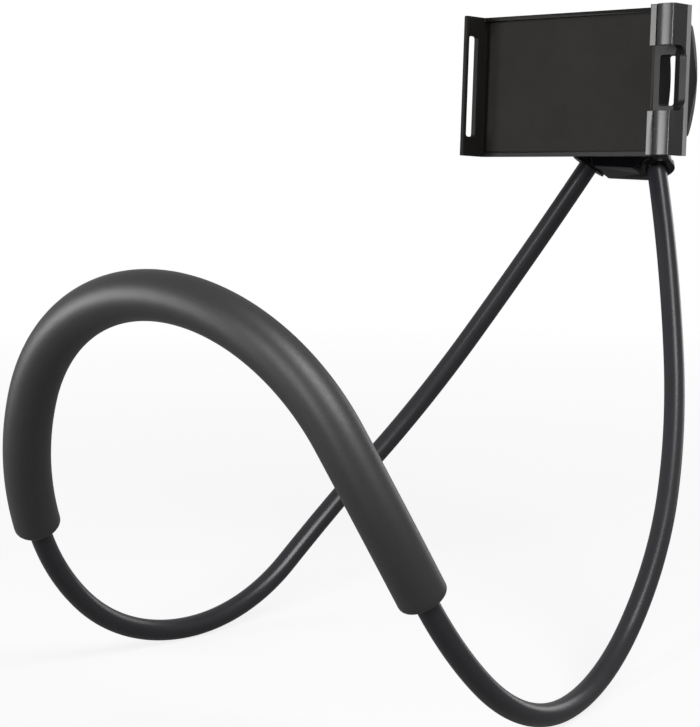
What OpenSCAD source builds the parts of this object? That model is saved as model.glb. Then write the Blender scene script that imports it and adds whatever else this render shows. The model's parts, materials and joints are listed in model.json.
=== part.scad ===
// Neck phone holder: a foam-padded gooseneck loop that hangs round the neck and carries a
// spring-loaded phone clamp on a ball joint.
// Millimetres. The wearer faces +Y and +Z is up. The origin is the middle of the foam sleeve,
// at the nape. Sizes marked "depth" in the clamp are counted from the front of its jaws.

/* [Arm] */
// Outside diameter of the arm's rubber jacket
arm_d = 10.7; // [10:0.1:11.3]
// Diameter of the soft aluminium core that holds the bend
core_d = 5.6; // [5:0.1:6.2]
// Length of bare core beyond the jacket at each end
core_tail = 7; // [6:0.5:9]
// Turn of the first bend about the arm, 0 bending straight forward
first_roll = -78; // [-84:1:-72]

/* [Neck foam] */
// Outside diameter of the foam sleeve
foam_d = 22.5; // [19:0.5:26]
// Length of the foam sleeve along the arm
foam_len = 380; // [340:5:420]
// Rounding of the sleeve's cut ends
foam_round = 3; // [1:0.5:4]

/* [Yoke] */
// Depth of each socket that the jacket fills
socket_depth = 14; // [12:0.5:17]
// Wall of the sockets round the arms
socket_wall = 3.2; // [2.8:0.1:3.8]
// How far the rim at a socket's mouth stands proud
rim_h = 1.2; // [0.8:0.2:2]
// Thickness of the yoke from front to back
yoke_t = 18; // [17:0.5:20]
// Height of the yoke above the middle of the socket mouths
yoke_top = 29; // [27:0.5:31]
// Distance from the yoke's middle plane forward to the ball
ball_out = 34.5; // [32.5:0.5:38]

/* [Ball joint] */
// Diameter of the ball
ball_d = 16; // [15:0.5:17]
// Diameter of the neck just behind the ball
neck_d = 6.4; // [5.6:0.2:7]
// Radius of the bend in the ball arm
neck_bend = 12; // [11:0.5:13]
// Wall of the nylon liner round the ball
liner_wall = 1.5; // [1.2:0.1:1.8]
// Wall of the socket round the liner
cup_wall = 2.7; // [2.2:0.1:3.2]
// Wall of the locking ring, over the grip
ring_wall = 4.6; // [4:0.2:5.4]
// Number of grip flutes round the locking ring
ring_flutes = 18; // [12:1:22]

/* [Clamp] */
// Width over both jaws when closed
clamp_w = 148; // [142:1:156]
// Height of the tray and the jaws
clamp_h = 77.5; // [74:0.5:82]
// Depth from the front of the jaws to the tray's face
jaw_depth = 16; // [15:0.5:16.5]
// Depth from the front of the jaws to the ball's centre
ball_depth = 38; // [37.5:0.5:41]
// Thickness of the tray's plate and walls
tray_t = 2; // [1.8:0.1:2.4]
// Height of the rim round the tray's face
tray_rim = 1.5; // [1:0.1:2]
// Distance from the moving jaw's outer side to the tray's end
tray_short = 22; // [21:0.5:24]
// Thickness of the jaws' side walls
jaw_t = 3; // [2.6:0.1:3.6]
// How far the moving jaw pulls out
jaw_travel = 50; // [40:1:52]
// Lean of the clamp away from the wearer
clamp_lean = 5; // [2:0.5:9]
// Turn of the clamp about its own axis, right side up
clamp_turn = 2.5; // [0:0.5:5]
// Swivel of the clamp about the upright, right side towards the wearer
clamp_swivel = 8.5; // [0:0.5:12]

/* [Hidden] */
$fa = 6;
$fs = 0.5;
gap = 0.3;          // between pieces that move past each other
fit = 0.15;         // round a piece that is pushed into another
touch = 0.05;       // round screws and pins in their holes
run = 0.06;         // between the ball, its liner and the socket
past = 1;           // how far a cut runs past the face that it opens

// The bend table of one half of the arm, from the nape to the yoke, as the tube would be
// bent: length of arc, bend in degrees, and turn about the tube before the bend.
bends = [[111, 63, 0],
         [77, 22.5, 44],
         [59, 22.5, 32],
         [77, 40, 7],
         [78, 39.5, 13],
         [83, 13.5, -63],
         [83, 12.5, 37],
         [116, 7, -8]];
ring_step = 7;      // most degrees of bend between two rings of the swept tube
arm_sides = 16;
core_sides = 12;
foam_sides = 20;

// A frame along the arm is [point, towards the bend, across it, along the arm, total turn].
function sum_to(v, n) = n <= 0 ? 0 : v[n - 1] + sum_to(v, n - 1);
function arc_radius(i) = bends[i][0] * 180 / (PI * bends[i][1]);
function rolled(f, a) = [f[0], f[1] * cos(a) + f[2] * sin(a), f[2] * cos(a) - f[1] * sin(a),
                         f[3], f[4] + a];
function bent(f, l, r) = let (a = l / r * 180 / PI)
  [f[0] + f[3] * r * sin(a) + f[1] * r * (1 - cos(a)), f[1] * cos(a) - f[3] * sin(a),
   f[2], f[3] * cos(a) + f[1] * sin(a), f[4]];
function arc_starts(f, i) = i == len(bends) ? [f] :
  let (g = rolled(f, bends[i][2])) concat([g], arc_starts(bent(g, bends[i][0], arc_radius(i)), i + 1));
lengths = [for (b = bends) b[0]];
starts_at = [for (i = [0:len(bends)]) sum_to(lengths, i)];
arm_half = starts_at[len(bends)];
nape = [[0, 0, 0], [0, cos(first_roll), sin(first_roll)],
        [0, -sin(first_roll), cos(first_roll)], [1, 0, 0], 0];
arcs = arc_starts(nape, 0);
arm_end = arcs[len(bends)];
function arc_at(s) = max([for (i = [0:len(bends) - 1]) if (starts_at[i] <= s) i]);
function frame_at(s) = s >= arm_half ?
  [arm_end[0] + arm_end[3] * (s - arm_half), arm_end[1], arm_end[2], arm_end[3], arm_end[4]] :
  let (i = arc_at(s)) bent(arcs[i], s - starts_at[i], arc_radius(i));
function spot(s, r, a) = let (f = frame_at(abs(s)),
  p = f[0] + r * (f[1] * cos(a - f[4]) + f[2] * sin(a - f[4]))) s < 0 ? [-p[0], p[1], p[2]] : p;

// Places of the rings along one half of the arm
stations = [for (i = [0:len(bends) - 1]) let (n = max(2, ceil(bends[i][1] / ring_step)))
            for (k = [0:n - 1]) starts_at[i] + bends[i][0] * k / n];

// The yoke's own frame: the middle of the two socket mouths, leaning with the arms
mouth = arm_end[0];
yoke_lean = atan2(arm_end[3][1], arm_end[3][2]);
splay = asin(-arm_end[3][0]);
lean_step = yoke_lean - clamp_lean;
neck_run = (ball_out - neck_bend * (1 + sin(lean_step))) / cos(lean_step);
ball_up = yoke_top + neck_bend * cos(lean_step) - neck_run * sin(lean_step);
ball_at = [0, mouth[1] - ball_out * cos(yoke_lean) + ball_up * sin(yoke_lean),
           mouth[2] + ball_out * sin(yoke_lean) + ball_up * cos(yoke_lean)];

// Sockets and screws of the yoke
bore_r = arm_d / 2 + fit;
barrel_r = bore_r + socket_wall;
barrel_l = socket_depth + core_tail + 3;
rim_r = barrel_r + rim_h;
rim_l = 2.8;
web_low = rim_r * sin(splay) - 1;
web_half = mouth[0] - rim_r * cos(splay) + 1;
yoke_round = 3;
screw_r = 1.3;
head_r = 2.6;
head_h = 1.8;
screw_x = 6.5;
screw_z = 1.5;
screw_l = 14;
grub_r = 2;
grub_l = 5;
foot_r = 4.9;
foot_flange = 6.4;
foot_z = 7;
foot_h = 3;
elbow_r = 4.3;

// Ball joint, along the clamp's own axis from the ball's centre
ball_r = ball_d / 2;
liner_r = ball_r + run + liner_wall;
cup_r = liner_r + run;
stem_r = cup_r + cup_wall;
clear = stem_r + 2 * past; // half width of the cuts through the liner and socket
cup_open = 5;       // from the ball's centre back to the socket's mouth
liner_open = 4;
slit_w = 1.4;
flange_r = stem_r + 3.4;
flange_t = 2.2;
ring_r = stem_r + ring_wall;
ring_lip = 1.3;
ring_hole = ball_r + 1.2;
pivot_r = 6;
washer_r = 9;
washer_t = 1.2;

// Clamp depths, from the front of the jaws
rim_d = jaw_depth - tray_rim;
plate_d = jaw_depth + tray_t;
tongue_t = 2.4;
tongue_d = plate_d + gap;
skirt_d = 21.6;
skirt_z = clamp_h / 2 - 6;
crown = 3.5;
crown_r = (skirt_z * skirt_z + crown * crown) / (2 * crown);
cover_d = skirt_d + crown;
cover_t = tray_t;
flange_d = cover_d + gap;
boss_in = cover_d - cover_t - 0.6;
pivot_d = boss_in - gap;
// Clamp widths and heights
left_x = -clamp_w / 2;
right_x = clamp_w / 2;
tray_x = right_x - tray_short;
skirt_x = left_x + 5.5;
tongue_z = skirt_z - 8;
tongue_l = 71;
tongue_x = tray_x - tongue_l;
neck_z = 14;        // half width of the tongue where it leaves the housing
block_z = skirt_z - 3.8;
block_low = jaw_depth - 3;
block_t = 9.3;
block_d = block_low + block_t;
block_crown_r = 75;
block_round = 3;
side_t = jaw_t + 1.5; // of the moving jaw's side wall
// The opening for a finger: a bay in the side wall between the lips and a window in the block
bay_low = -16;
bay_high = 17.5;
bay_d = 12.4;
bay_round = 6.5;
window_low = -12.8;
window_high = 13.6;
window_wall = 4;
window_w = 9.8;
window_round = 1.5;
lip_w = 11.5;
lip_t = 5.5;
lip_crown_r = 16;
lip_leg = 11.7;     // depth that the lips reach on the outer side
lip_skin = 1.2;
strip_w = 5.4;      // of the strip along the lips' inner edge
strip_in = 1.8;
strip_out = 4.2;
groove_w = 0.9;
side_d = 15;        // depth of the side wall's rear edge
slot_h = 56;
slot_near = 2.2;
slot_far = 9.4;
rim_w = 2.5;
end_rim_w = 2.8;
pad_t = 0.7;
pad_gap = 0.4;      // between the pad and the walls of the recess
corner_r = 1.5;     // of the tray's corners
jaw_round = jaw_t / 2; // of the left jaw's front edge
root_r = 3;         // of the fillet where the left jaw meets the tray
boss_r = 3.4;
boss_z = skirt_z - 4;
boss_x = [skirt_x + 5.5, tray_x - 5.5];
boss_top = cover_d - crown + 1;
screw_pan = 1;      // height of the heads on the clamp's screws
spring_z = 15;
rib_z = 20;         // the cover's ribs behind the tongue
spring_r = 1.8;
wire = 0.6;
post_r = 1.1;
post_x = skirt_x + 5;
tail_x = tongue_x + 4;
spring_d = plate_d + 0.4 + spring_r;
spring_loop = spring_r - wire / 2;
ledge_d = spring_d - wire / 2 - gap;
rail_t = 1.2;       // ribs beside and behind the tongue
rail_end = 12;      // from the ends of the housing to those ribs

module at_yoke() translate([0, mouth[1], mouth[2]]) rotate([-yoke_lean, 0, 0]) children();
module at_socket(side) mirror([side < 0 ? 1 : 0, 0, 0]) translate([mouth[0], 0, 0])
  rotate([0, -splay, 0]) children();
module at_clamp() translate(ball_at) rotate([-clamp_lean, 0, -clamp_swivel])
  rotate([0, -clamp_turn, 0]) children();
// Stands a shape drawn flat in x and z up at a depth in the clamp, and gives it a thickness
module at_depth(d, t) translate([0, d - ball_depth + t, 0]) rotate([90, 0, 0])
  linear_extrude(t) children();
// A cylinder along the clamp's axis, from one depth to another
module along_axis(r, from, to) translate([0, from - ball_depth, 0]) rotate([-90, 0, 0])
  cylinder(h = to - from, r = r);
module box(x, y, z) translate([x[0], y[0], z[0]]) cube([x[1] - x[0], y[1] - y[0], z[1] - z[0]]);
// A block between two depths of the clamp
module slab(x, d, z) box(x, [d[0] - ball_depth, d[1] - ball_depth], z);
module rounded(x, z, r) offset(r, $fn = 24) translate([x[0] + r, z[0] + r])
  square([x[1] - x[0] - 2 * r, z[1] - z[0] - 2 * r]);

// Sweeps a round section along both halves of the arm. Rows are [place, radius, bore].
module swept(rows, n) {
  full = concat([for (i = [len(rows) - 1:-1:1]) [-rows[i][0], rows[i][1], rows[i][2]]], rows);
  m = len(full);
  turn = [for (k = [0:n - 1]) 360 * k / n];
  outer = [for (q = full) for (a = turn) spot(q[0], q[1], a)];
  inner = [for (q = full) for (a = turn) spot(q[0], q[2], a)];
  hollow = rows[0][2] > 0;
  walls = [for (i = [0:m - 2]) for (k = [0:n - 1]) let (a = i * n + k, b = i * n + (k + 1) % n,
           c = b + n, d = a + n) each [[a, d, c], [a, c, b]]];
  lining = [for (w = walls) [w[2] + m * n, w[1] + m * n, w[0] + m * n]];
  last = (m - 1) * n;
  rims = [for (k = [0:n - 1]) let (j = (k + 1) % n, o = m * n) each
          [[k, j, j + o], [k, j + o, k + o],
           [last + k, last + j + o, last + j], [last + k, last + k + o, last + j + o]]];
  ends = [[for (k = [0:n - 1]) k], [for (k = [n - 1:-1:0]) last + k]];
  if (hollow) polyhedron(concat(outer, inner), concat(walls, lining, rims), convexity = 8);
  else polyhedron(outer, concat(walls, ends), convexity = 8);
}

module neck_foam() color("#3b3b3c") {
  half = foam_len / 2;
  r = foam_d / 2;
  hole = arm_d / 2 + gap;
  swept(concat([for (s = stations) if (s < half - foam_round - 2) [s, r, hole]],
               [[half - foam_round, r, hole],
                [half - 0.3 * foam_round, r - 0.3 * foam_round, hole],
                [half, r - foam_round, hole]]), foam_sides);
}

module arm_jacket() color("#17181b")
  swept([for (s = concat(stations, [arm_half, arm_half + socket_depth]))
         [s, arm_d / 2, core_d / 2 + fit]], arm_sides);

module arm_core() color("#b9bbbd")
  swept([for (s = concat(stations, [arm_half, arm_half + socket_depth + core_tail]))
         [s, core_d / 2, 0]], core_sides);

// Outside of the yoke before it is split: two barrels, their rims and the web between them
module yoke_block() {
  for (side = [-1, 1]) at_socket(side) {
    cylinder(h = barrel_l, r = barrel_r);
    cylinder(h = rim_l, r = rim_r);
  }
  translate([0, yoke_t / 2, 0]) rotate([90, 0, 0]) linear_extrude(yoke_t)
    offset(yoke_round, $fn = 24) offset(-yoke_round)
      polygon([[-web_half, -web_low], [web_half, -web_low], [mouth[0] - 1, yoke_top / 2],
               [web_half + 1, yoke_top], [-web_half - 1, yoke_top], [1 - mouth[0], yoke_top / 2]]);
}

module yoke_holes() {
  for (side = [-1, 1]) {
    at_socket(side) {
      translate([0, 0, -past]) cylinder(h = socket_depth + past, r = bore_r);
      cylinder(h = socket_depth + core_tail + fit, r = core_d / 2 + fit);
      translate([0, 0, socket_depth + core_tail / 2]) rotate([-90, 0, 0])
        cylinder(h = barrel_r + past, r = grub_r + touch);
    }
    translate([side * screw_x, yoke_t / 2 - head_h - screw_l + 1.5, screw_z]) rotate([-90, 0, 0])
      cylinder(h = screw_l, r = screw_r + touch);
    translate([side * screw_x, yoke_t / 2 - head_h - 0.4, screw_z]) rotate([-90, 0, 0])
      cylinder(h = yoke_t, r = head_r + fit);
  }
  translate([0, 0, foot_z - touch]) cylinder(h = foot_h + 2 * touch, r = foot_flange + touch);
  translate([0, 0, foot_z]) cylinder(h = yoke_top, r = foot_r + touch);
}

module yoke_front() color("#1a1a1c") at_yoke() difference() {
  yoke_block();
  yoke_holes();
  box([-60, 60], [0, 40], [-30, 60]);
}

module yoke_rear() color("#1e1e20") at_yoke() difference() {
  yoke_block();
  yoke_holes();
  box([-60, 60], [-40, 0], [-30, 60]);
}

// A pan-head screw pointing down, its head's underside at the origin
module pan_screw(r, l, hr, hh) {
  difference() {
    cylinder(h = hh, r1 = hr, r2 = hr * 0.82);
    translate([0, 0, hh / 2]) for (a = [0, 90]) rotate([0, 0, a])
      translate([-hr * 0.6, -hr * 0.13, 0]) cube([hr * 1.2, hr * 0.26, hh]);
  }
  translate([0, 0, -l]) cylinder(h = l, r = r);
}

module yoke_screws() color("#8a8c8f") at_yoke() for (side = [-1, 1])
  translate([side * screw_x, yoke_t / 2 - head_h - 0.4, screw_z]) rotate([-90, 0, 0])
    pan_screw(screw_r, screw_l - 2, head_r, head_h);

module grub_screws() color("#77797c") at_yoke() for (side = [-1, 1]) at_socket(side)
  translate([0, core_d / 2 + touch, socket_depth + core_tail / 2]) rotate([-90, 0, 0])
    difference() {
      cylinder(h = grub_l, r = grub_r);
      translate([0, 0, grub_l - 2]) cylinder(h = 3, r = 1.1, $fn = 6);
    }

module ball_arm() color("#2a2a2c") {
  at_yoke() {
    translate([0, 0, foot_z]) cylinder(h = foot_h, r = foot_flange);
    translate([0, 0, foot_z]) cylinder(h = yoke_top - foot_z, r = foot_r);
    translate([0, -neck_bend, yoke_top]) rotate([90, 0, 90])
      rotate_extrude(angle = 90 + lean_step) translate([neck_bend, 0]) circle(elbow_r);
  }
  translate(ball_at) rotate([-90 - clamp_lean, 0, 0]) {
    sphere(ball_r);
    cylinder(h = neck_run - 2, r = neck_d / 2);
    translate([0, 0, neck_run - 4]) cylinder(h = 4.6, r = elbow_r + 0.6);
  }
}

module ball_liner() color("#d8d6cc") at_clamp() difference() {
  sphere(liner_r);
  sphere(ball_r + run);
  box([-clear, clear], [liner_open, clear], [-clear, clear]);
  for (a = [45, 135]) rotate([0, a, 0])
    box([-clear, clear], [-1, clear], [-slit_w / 2, slit_w / 2]);
}

// Section of the socket from its axis outwards, with the ball's centre at the origin
module socket_section() difference() {
  front = flange_d - ball_depth;
  polygon([[0, pivot_d - ball_depth], [pivot_r, pivot_d - ball_depth], [pivot_r, front],
           [flange_r, front], [flange_r, front + flange_t], [stem_r, front + flange_t],
           [stem_r, cup_open], [0, cup_open]]);
  circle(cup_r);
}

module ball_socket() color("#222224") at_clamp() difference() {
  rotate([-90, 0, 0]) rotate_extrude() socket_section();
  for (a = [0, 90]) rotate([0, a, 0])
    box([-clear, clear], [-2, clear], [-slit_w / 2, slit_w / 2]);
  along_axis(screw_r + touch, cover_d - cover_t - 3, flange_d + 0.8);
}

module socket_washer() color("#9a9c9f") at_clamp() difference() {
  along_axis(washer_r, pivot_d - washer_t, pivot_d);
  along_axis(screw_r + touch, 0, ball_depth);
}

module socket_screw() color("#8a8c8f") at_clamp()
  translate([0, pivot_d - washer_t - ball_depth, 0]) rotate([90, 0, 0])
    pan_screw(screw_r, 3.4, head_r, 1);

module lock_ring() color("#1b1b1d") at_clamp() difference() {
  along_axis(ring_r, flange_d + flange_t + gap, ball_depth + cup_open + ring_lip + gap);
  along_axis(stem_r + 0.1, flange_d, ball_depth + cup_open + gap);
  along_axis(ring_hole, ball_depth, ball_depth + 20);
  for (i = [0:ring_flutes - 1]) rotate([0, 360 / ring_flutes * i, 0])
    translate([ring_r + 0.7, 0, 0]) along_axis(1.6, flange_d, ball_depth + 20);
}

// The tray: recessed plate, fixed left jaw with its slot, and the housing's skirt behind
module tray() color("#2b2a2a") at_clamp() difference() {
  union() {
    at_depth(rim_d, tray_t + tray_rim) rounded([left_x, tray_x], [-clamp_h / 2, clamp_h / 2],
                                          corner_r);
    left_jaw();
    root_fillet();
    difference() {
      slab([skirt_x, tray_x], [plate_d - 0.5, skirt_d], [-skirt_z, skirt_z]);
      slab([skirt_x + tray_t, tray_x + past], [plate_d - past, skirt_d + past],
           [-skirt_z + tray_t, skirt_z - tray_t]);
    }
    for (x = boss_x, s = [-1, 1]) translate([x, 0, s * boss_z])
      along_axis(boss_r, plate_d - 0.5, skirt_d);
    for (s = [0, 1]) mirror([0, 0, s])
      slab([skirt_x + rail_end, tray_x - rail_end], [plate_d - 0.5, tongue_d + tongue_t],
           [tongue_z + gap, tongue_z + gap + rail_t]);
    for (s = [-1, 1]) translate([post_x, 0, s * spring_z])
      along_axis(post_r, plate_d - 0.5, spring_d + wire + 0.6);
  }
  slab([left_x + jaw_t, tray_x - end_rim_w], [rim_d - past, jaw_depth],
       [-clamp_h / 2 + rim_w, clamp_h / 2 - rim_w]);
  slot();
  for (x = boss_x, s = [-1, 1]) translate([x, 0, s * boss_z])
    along_axis(screw_r + touch, plate_d, skirt_d + past);
}

// The left jaw's wall, with a rounded front edge and the tray's corners
module left_jaw() intersection() {
  at_depth(0, plate_d) rounded([left_x, tray_x], [-clamp_h / 2, clamp_h / 2], corner_r);
  union() {
    slab([left_x, left_x + jaw_t], [jaw_round, plate_d], [-clamp_h / 2, clamp_h / 2]);
    translate([left_x + jaw_t / 2, jaw_round - ball_depth, -clamp_h / 2])
      cylinder(h = clamp_h, r = jaw_t / 2);
  }
}

// The fillet where the left jaw meets the tray's face
module root_fillet() difference() {
  slab([left_x + jaw_t - 0.5, left_x + jaw_t + root_r], [jaw_depth - root_r, jaw_depth + 0.5],
       [-clamp_h / 2 + rim_w - 0.5, clamp_h / 2 - rim_w + 0.5]);
  translate([left_x + jaw_t + root_r, jaw_depth - root_r - ball_depth, -clamp_h])
    cylinder(h = 2 * clamp_h, r = root_r);
}

// The tall slot through the left jaw
module slot() translate([left_x - past, 0, 0]) rotate([0, 90, 0])
  linear_extrude(jaw_t + 2 * past) offset(1.5, $fn = 24)
    translate([-slot_h / 2 + 1.5, slot_near + 1.5 - ball_depth])
      square([slot_h - 3, slot_far - slot_near - 3]);

module tray_pad() color("#36322f") at_clamp()
  at_depth(jaw_depth - pad_t, pad_t)
    rounded([left_x + jaw_t + root_r + pad_gap, tray_x - end_rim_w - pad_gap],
            [-clamp_h / 2 + rim_w + pad_gap, clamp_h / 2 - rim_w - pad_gap], 1);

// A block whose back is crowned from top to bottom, inset from the cover's outside
module crowned(x, low, inset) intersection() {
  slab(x, [low, cover_d + past], [inset - skirt_z, skirt_z - inset]);
  translate([skirt_x - 9, cover_d - crown_r - ball_depth, 0]) rotate([0, 90, 0])
    cylinder(h = clamp_w, r = crown_r - inset, $fn = 240);
}
// Runs a section of height and depth from one end of the clamp to another
module across(x) translate([x[0], -ball_depth, 0]) rotate([90, 0, 90]) rotate([0, 0, 90])
  mirror([0, 1, 0]) linear_extrude(x[1] - x[0]) children();

module rear_cover() color("#222122") at_clamp() difference() {
  union() {
    difference() {
      crowned([skirt_x, tray_x], skirt_d, 0);
      crowned([skirt_x + cover_t, tray_x - cover_t], skirt_d - past, cover_t);
    }
    intersection() {
      along_axis(flange_r + 1.5, skirt_d, cover_d);
      slab([-30, 30], [boss_in, cover_d], [-30, 30]);
    }
    for (x = boss_x, s = [-1, 1]) translate([x, 0, s * boss_z])
      along_axis(boss_r, skirt_d, boss_top);
    for (s = [-1, 1]) slab([skirt_x + rail_end, tray_x - rail_end],
      [tongue_d + tongue_t + gap, cover_d - cover_t - 0.8],
      [s * rib_z - rail_t / 2, s * rib_z + rail_t / 2]);
  }
  along_axis(pivot_r + 0.1, skirt_d - past, cover_d + past);
  for (x = boss_x, s = [-1, 1]) translate([x, 0, s * boss_z]) {
    along_axis(screw_r + touch, skirt_d - past, cover_d + past);
    along_axis(boss_r + touch, boss_top, cover_d + past);
  }
}

module cover_screws() color("#8a8c8f") at_clamp() for (x = boss_x, s = [-1, 1])
  translate([x, boss_top - ball_depth, s * boss_z]) rotate([-90, 0, 0])
    pan_screw(screw_r, boss_top - plate_d - 0.6, head_r, screw_pan);

// The bay between the lips, where a finger reaches the block's window
module bay() across([right_x - lip_w - strip_w - past, right_x + past])
  offset(bay_round, $fn = 48) offset(-bay_round)
    translate([bay_low, -2 * bay_round]) square([bay_high - bay_low, bay_d + 2 * bay_round]);

// The moving jaw: side wall, crowned rear block with its window, and the tongue in the housing
module moving_jaw() color("#232325") at_clamp() difference() {
  union() {
    across([tray_x + gap, right_x - 0.4]) intersection() {
      offset(block_round, $fn = 32) offset(-block_round) intersection() {
        translate([-block_z, 0]) square([2 * block_z, block_d]);
        translate([0, block_d - block_crown_r]) circle(block_crown_r, $fn = 240);
      }
      translate([-block_z, block_low]) square([2 * block_z, block_d - block_low]);
    }
    slab([right_x - side_t, right_x], [lip_t, side_d], [-clamp_h / 2, clamp_h / 2]);
    slab([tongue_x, tray_x - past], [tongue_d, tongue_d + tongue_t], [-tongue_z, tongue_z]);
    slab([tongue_x, tray_x + window_wall], [tongue_d, tongue_d + tongue_t], [-neck_z, neck_z]);
  }
  bay();
  slab([right_x - lip_skin, right_x + past], [0, lip_leg], [-clamp_h, clamp_h]);
  at_depth(lip_t, ball_depth) rounded([tray_x + gap + window_wall, tray_x + gap + window_wall +
    window_w], [window_low, window_high], window_round);
  slab([tongue_x - past, head_r + 4], [tongue_d - past, tongue_d + tongue_t + past],
       [-head_r - 1.4, head_r + 1.4]);
  for (s = [-1, 1]) translate([0, 0, s * spring_z]) {
    slab([tongue_x - past, tail_x - spring_loop - wire + gap],
         [tongue_d - past, tongue_d + tongue_t + past], [-spring_r - gap, spring_r + gap]);
    difference() {
      slab([tongue_x, tail_x + spring_r + gap], [ledge_d, tongue_d + tongue_t + past],
           [-spring_r - gap, spring_r + gap]);
      translate([tail_x, 0, 0]) along_axis(post_r, 0, ball_depth);
    }
  }
}

// Section of a jaw lip in x and depth: a rounded band before the side wall, a leg down the
// outer side, and a thinner strip inwards that hooks over the phone
module lip_section() {
  intersection() {
    offset(1.5, $fn = 32) offset(-1.5) intersection() {
      translate([right_x - lip_w, 0]) square([lip_w, 2 * lip_t]);
      translate([right_x - lip_w / 2, lip_crown_r]) circle(lip_crown_r, $fn = 240);
    }
    translate([right_x - lip_w, 0]) square([lip_w, lip_t]);
  }
  translate([right_x - lip_skin, lip_t - 0.5]) square([lip_skin, lip_leg - lip_t + 0.5]);
  difference() {
    offset(1, $fn = 24) offset(-1) translate([right_x - lip_w - strip_w, strip_in])
      square([strip_w + 3, strip_out - strip_in]);
    translate([right_x - lip_w - groove_w, 0]) square([groove_w, strip_in + 0.9]);
  }
}
module lip(z) difference() {
  translate([0, -ball_depth, z[0]]) linear_extrude(z[1] - z[0]) lip_section();
  bay();
}

module upper_lip() color("#3c3d40") at_clamp() lip([0, clamp_h / 2]);
module lower_lip() color("#3c3d40") at_clamp() lip([-clamp_h / 2, 0]);

// A closed-wound tension spring with a loop at each end, from one post to the other
module spring(z) translate([0, spring_d - ball_depth, z]) {
  coil = spring_loop;
  from = post_x + coil + wire;
  to = tail_x - coil - wire;
  n = floor((to - from) / (1.1 * wire));
  pitch = (to - from) / n;
  translate([from, 0, 0]) rotate([0, 90, 0]) rotate_extrude() polygon(concat(
    [[coil - wire / 2, 0]],
    [for (i = [0:n - 1]) for (a = [-70, -35, 0, 35, 70])
      [coil + wire / 2 * cos(a), (i + 0.5) * pitch + pitch / 2 * sin(a)]],
    [[coil - wire / 2, n * pitch]]));
  for (x = [post_x, tail_x]) translate([x, 0, 0]) rotate([90, 0, 0])
    rotate_extrude() translate([coil, 0]) circle(wire / 2, $fn = 24);
  for (x = [[post_x, from + 0.5], [to - 0.5, tail_x]]) translate([x[0], 0, coil])
    rotate([0, 90, 0]) cylinder(h = x[1] - x[0], r = wire / 2 - 0.06);
}

module upper_spring() color("#a7a9ab") at_clamp() spring(spring_z);
module lower_spring() color("#a7a9ab") at_clamp() spring(-spring_z);

neck_foam();
arm_jacket();
arm_core();
yoke_front();
yoke_rear();
yoke_screws();
grub_screws();
ball_arm();
ball_liner();
ball_socket();
socket_washer();
socket_screw();
lock_ring();
tray();
tray_pad();
rear_cover();
cover_screws();
moving_jaw();
upper_lip();
lower_lip();
upper_spring();
lower_spring();
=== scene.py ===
# %% [markdown]
# A neck phone holder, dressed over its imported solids. The solids fix every size and place; this script
# gives them the look of the real thing: closed-cell foam, extruded rubber, moulded plastic and bright
# steel. Lengths are in metres. The wearer faces +Y and the nape of the neck is at the origin.

# %% Load the frame
import bpy
import bmesh
import json
import math
from mathutils import Matrix, Vector

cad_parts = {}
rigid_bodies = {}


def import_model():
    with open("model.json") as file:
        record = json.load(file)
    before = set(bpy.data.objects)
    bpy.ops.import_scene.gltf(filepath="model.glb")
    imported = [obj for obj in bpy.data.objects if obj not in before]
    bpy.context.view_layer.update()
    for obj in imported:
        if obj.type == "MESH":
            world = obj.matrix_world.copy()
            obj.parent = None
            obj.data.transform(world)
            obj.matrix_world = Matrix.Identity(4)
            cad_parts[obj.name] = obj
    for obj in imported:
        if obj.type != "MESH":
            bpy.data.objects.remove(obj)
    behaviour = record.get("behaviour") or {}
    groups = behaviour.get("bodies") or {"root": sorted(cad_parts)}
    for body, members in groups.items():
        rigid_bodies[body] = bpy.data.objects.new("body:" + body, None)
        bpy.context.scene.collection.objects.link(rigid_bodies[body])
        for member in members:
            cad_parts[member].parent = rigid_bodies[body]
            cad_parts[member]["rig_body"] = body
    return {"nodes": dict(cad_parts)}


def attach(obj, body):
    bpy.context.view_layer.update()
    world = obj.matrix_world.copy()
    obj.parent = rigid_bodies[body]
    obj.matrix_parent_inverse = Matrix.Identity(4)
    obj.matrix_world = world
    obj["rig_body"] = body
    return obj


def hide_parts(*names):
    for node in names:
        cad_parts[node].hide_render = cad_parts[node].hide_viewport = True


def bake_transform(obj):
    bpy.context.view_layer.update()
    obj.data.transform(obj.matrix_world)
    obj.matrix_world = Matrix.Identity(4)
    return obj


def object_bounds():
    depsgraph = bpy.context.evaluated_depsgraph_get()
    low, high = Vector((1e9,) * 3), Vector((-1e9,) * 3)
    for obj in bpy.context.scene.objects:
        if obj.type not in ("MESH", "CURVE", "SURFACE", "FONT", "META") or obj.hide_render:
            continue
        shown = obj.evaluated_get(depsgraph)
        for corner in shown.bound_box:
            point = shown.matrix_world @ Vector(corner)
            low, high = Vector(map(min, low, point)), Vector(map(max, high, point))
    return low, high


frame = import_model()
nodes = frame["nodes"]
cad_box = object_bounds()
print("box of the solids", [round(c, 4) for c in (*cad_box[0], *cad_box[1])])

# %% [markdown]
# The camera stands in front and to the wearer's right, a little above, with a long lens. A long lens
# flattens the loop as a product photograph does, so near and far arms look almost equally thick.

# %% Camera
MM = 0.001
CAMERA = {"turn": 38.12, "rise": 8.37, "at": (667.06, -716.96, 114.17), "lens": 113.49, "sensor": 36}


def camera_axes(turn, rise):
    back = Vector((math.sin(turn) * math.cos(rise), -math.cos(turn) * math.cos(rise), math.sin(rise)))
    right = Vector((math.cos(turn), math.sin(turn), 0))
    return right, back.cross(right), back


def place(columns, at):
    """A matrix from three axes and a place"""
    m = Matrix([list(c) for c in columns]).transposed().to_4x4()
    m.translation = at
    return m


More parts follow.
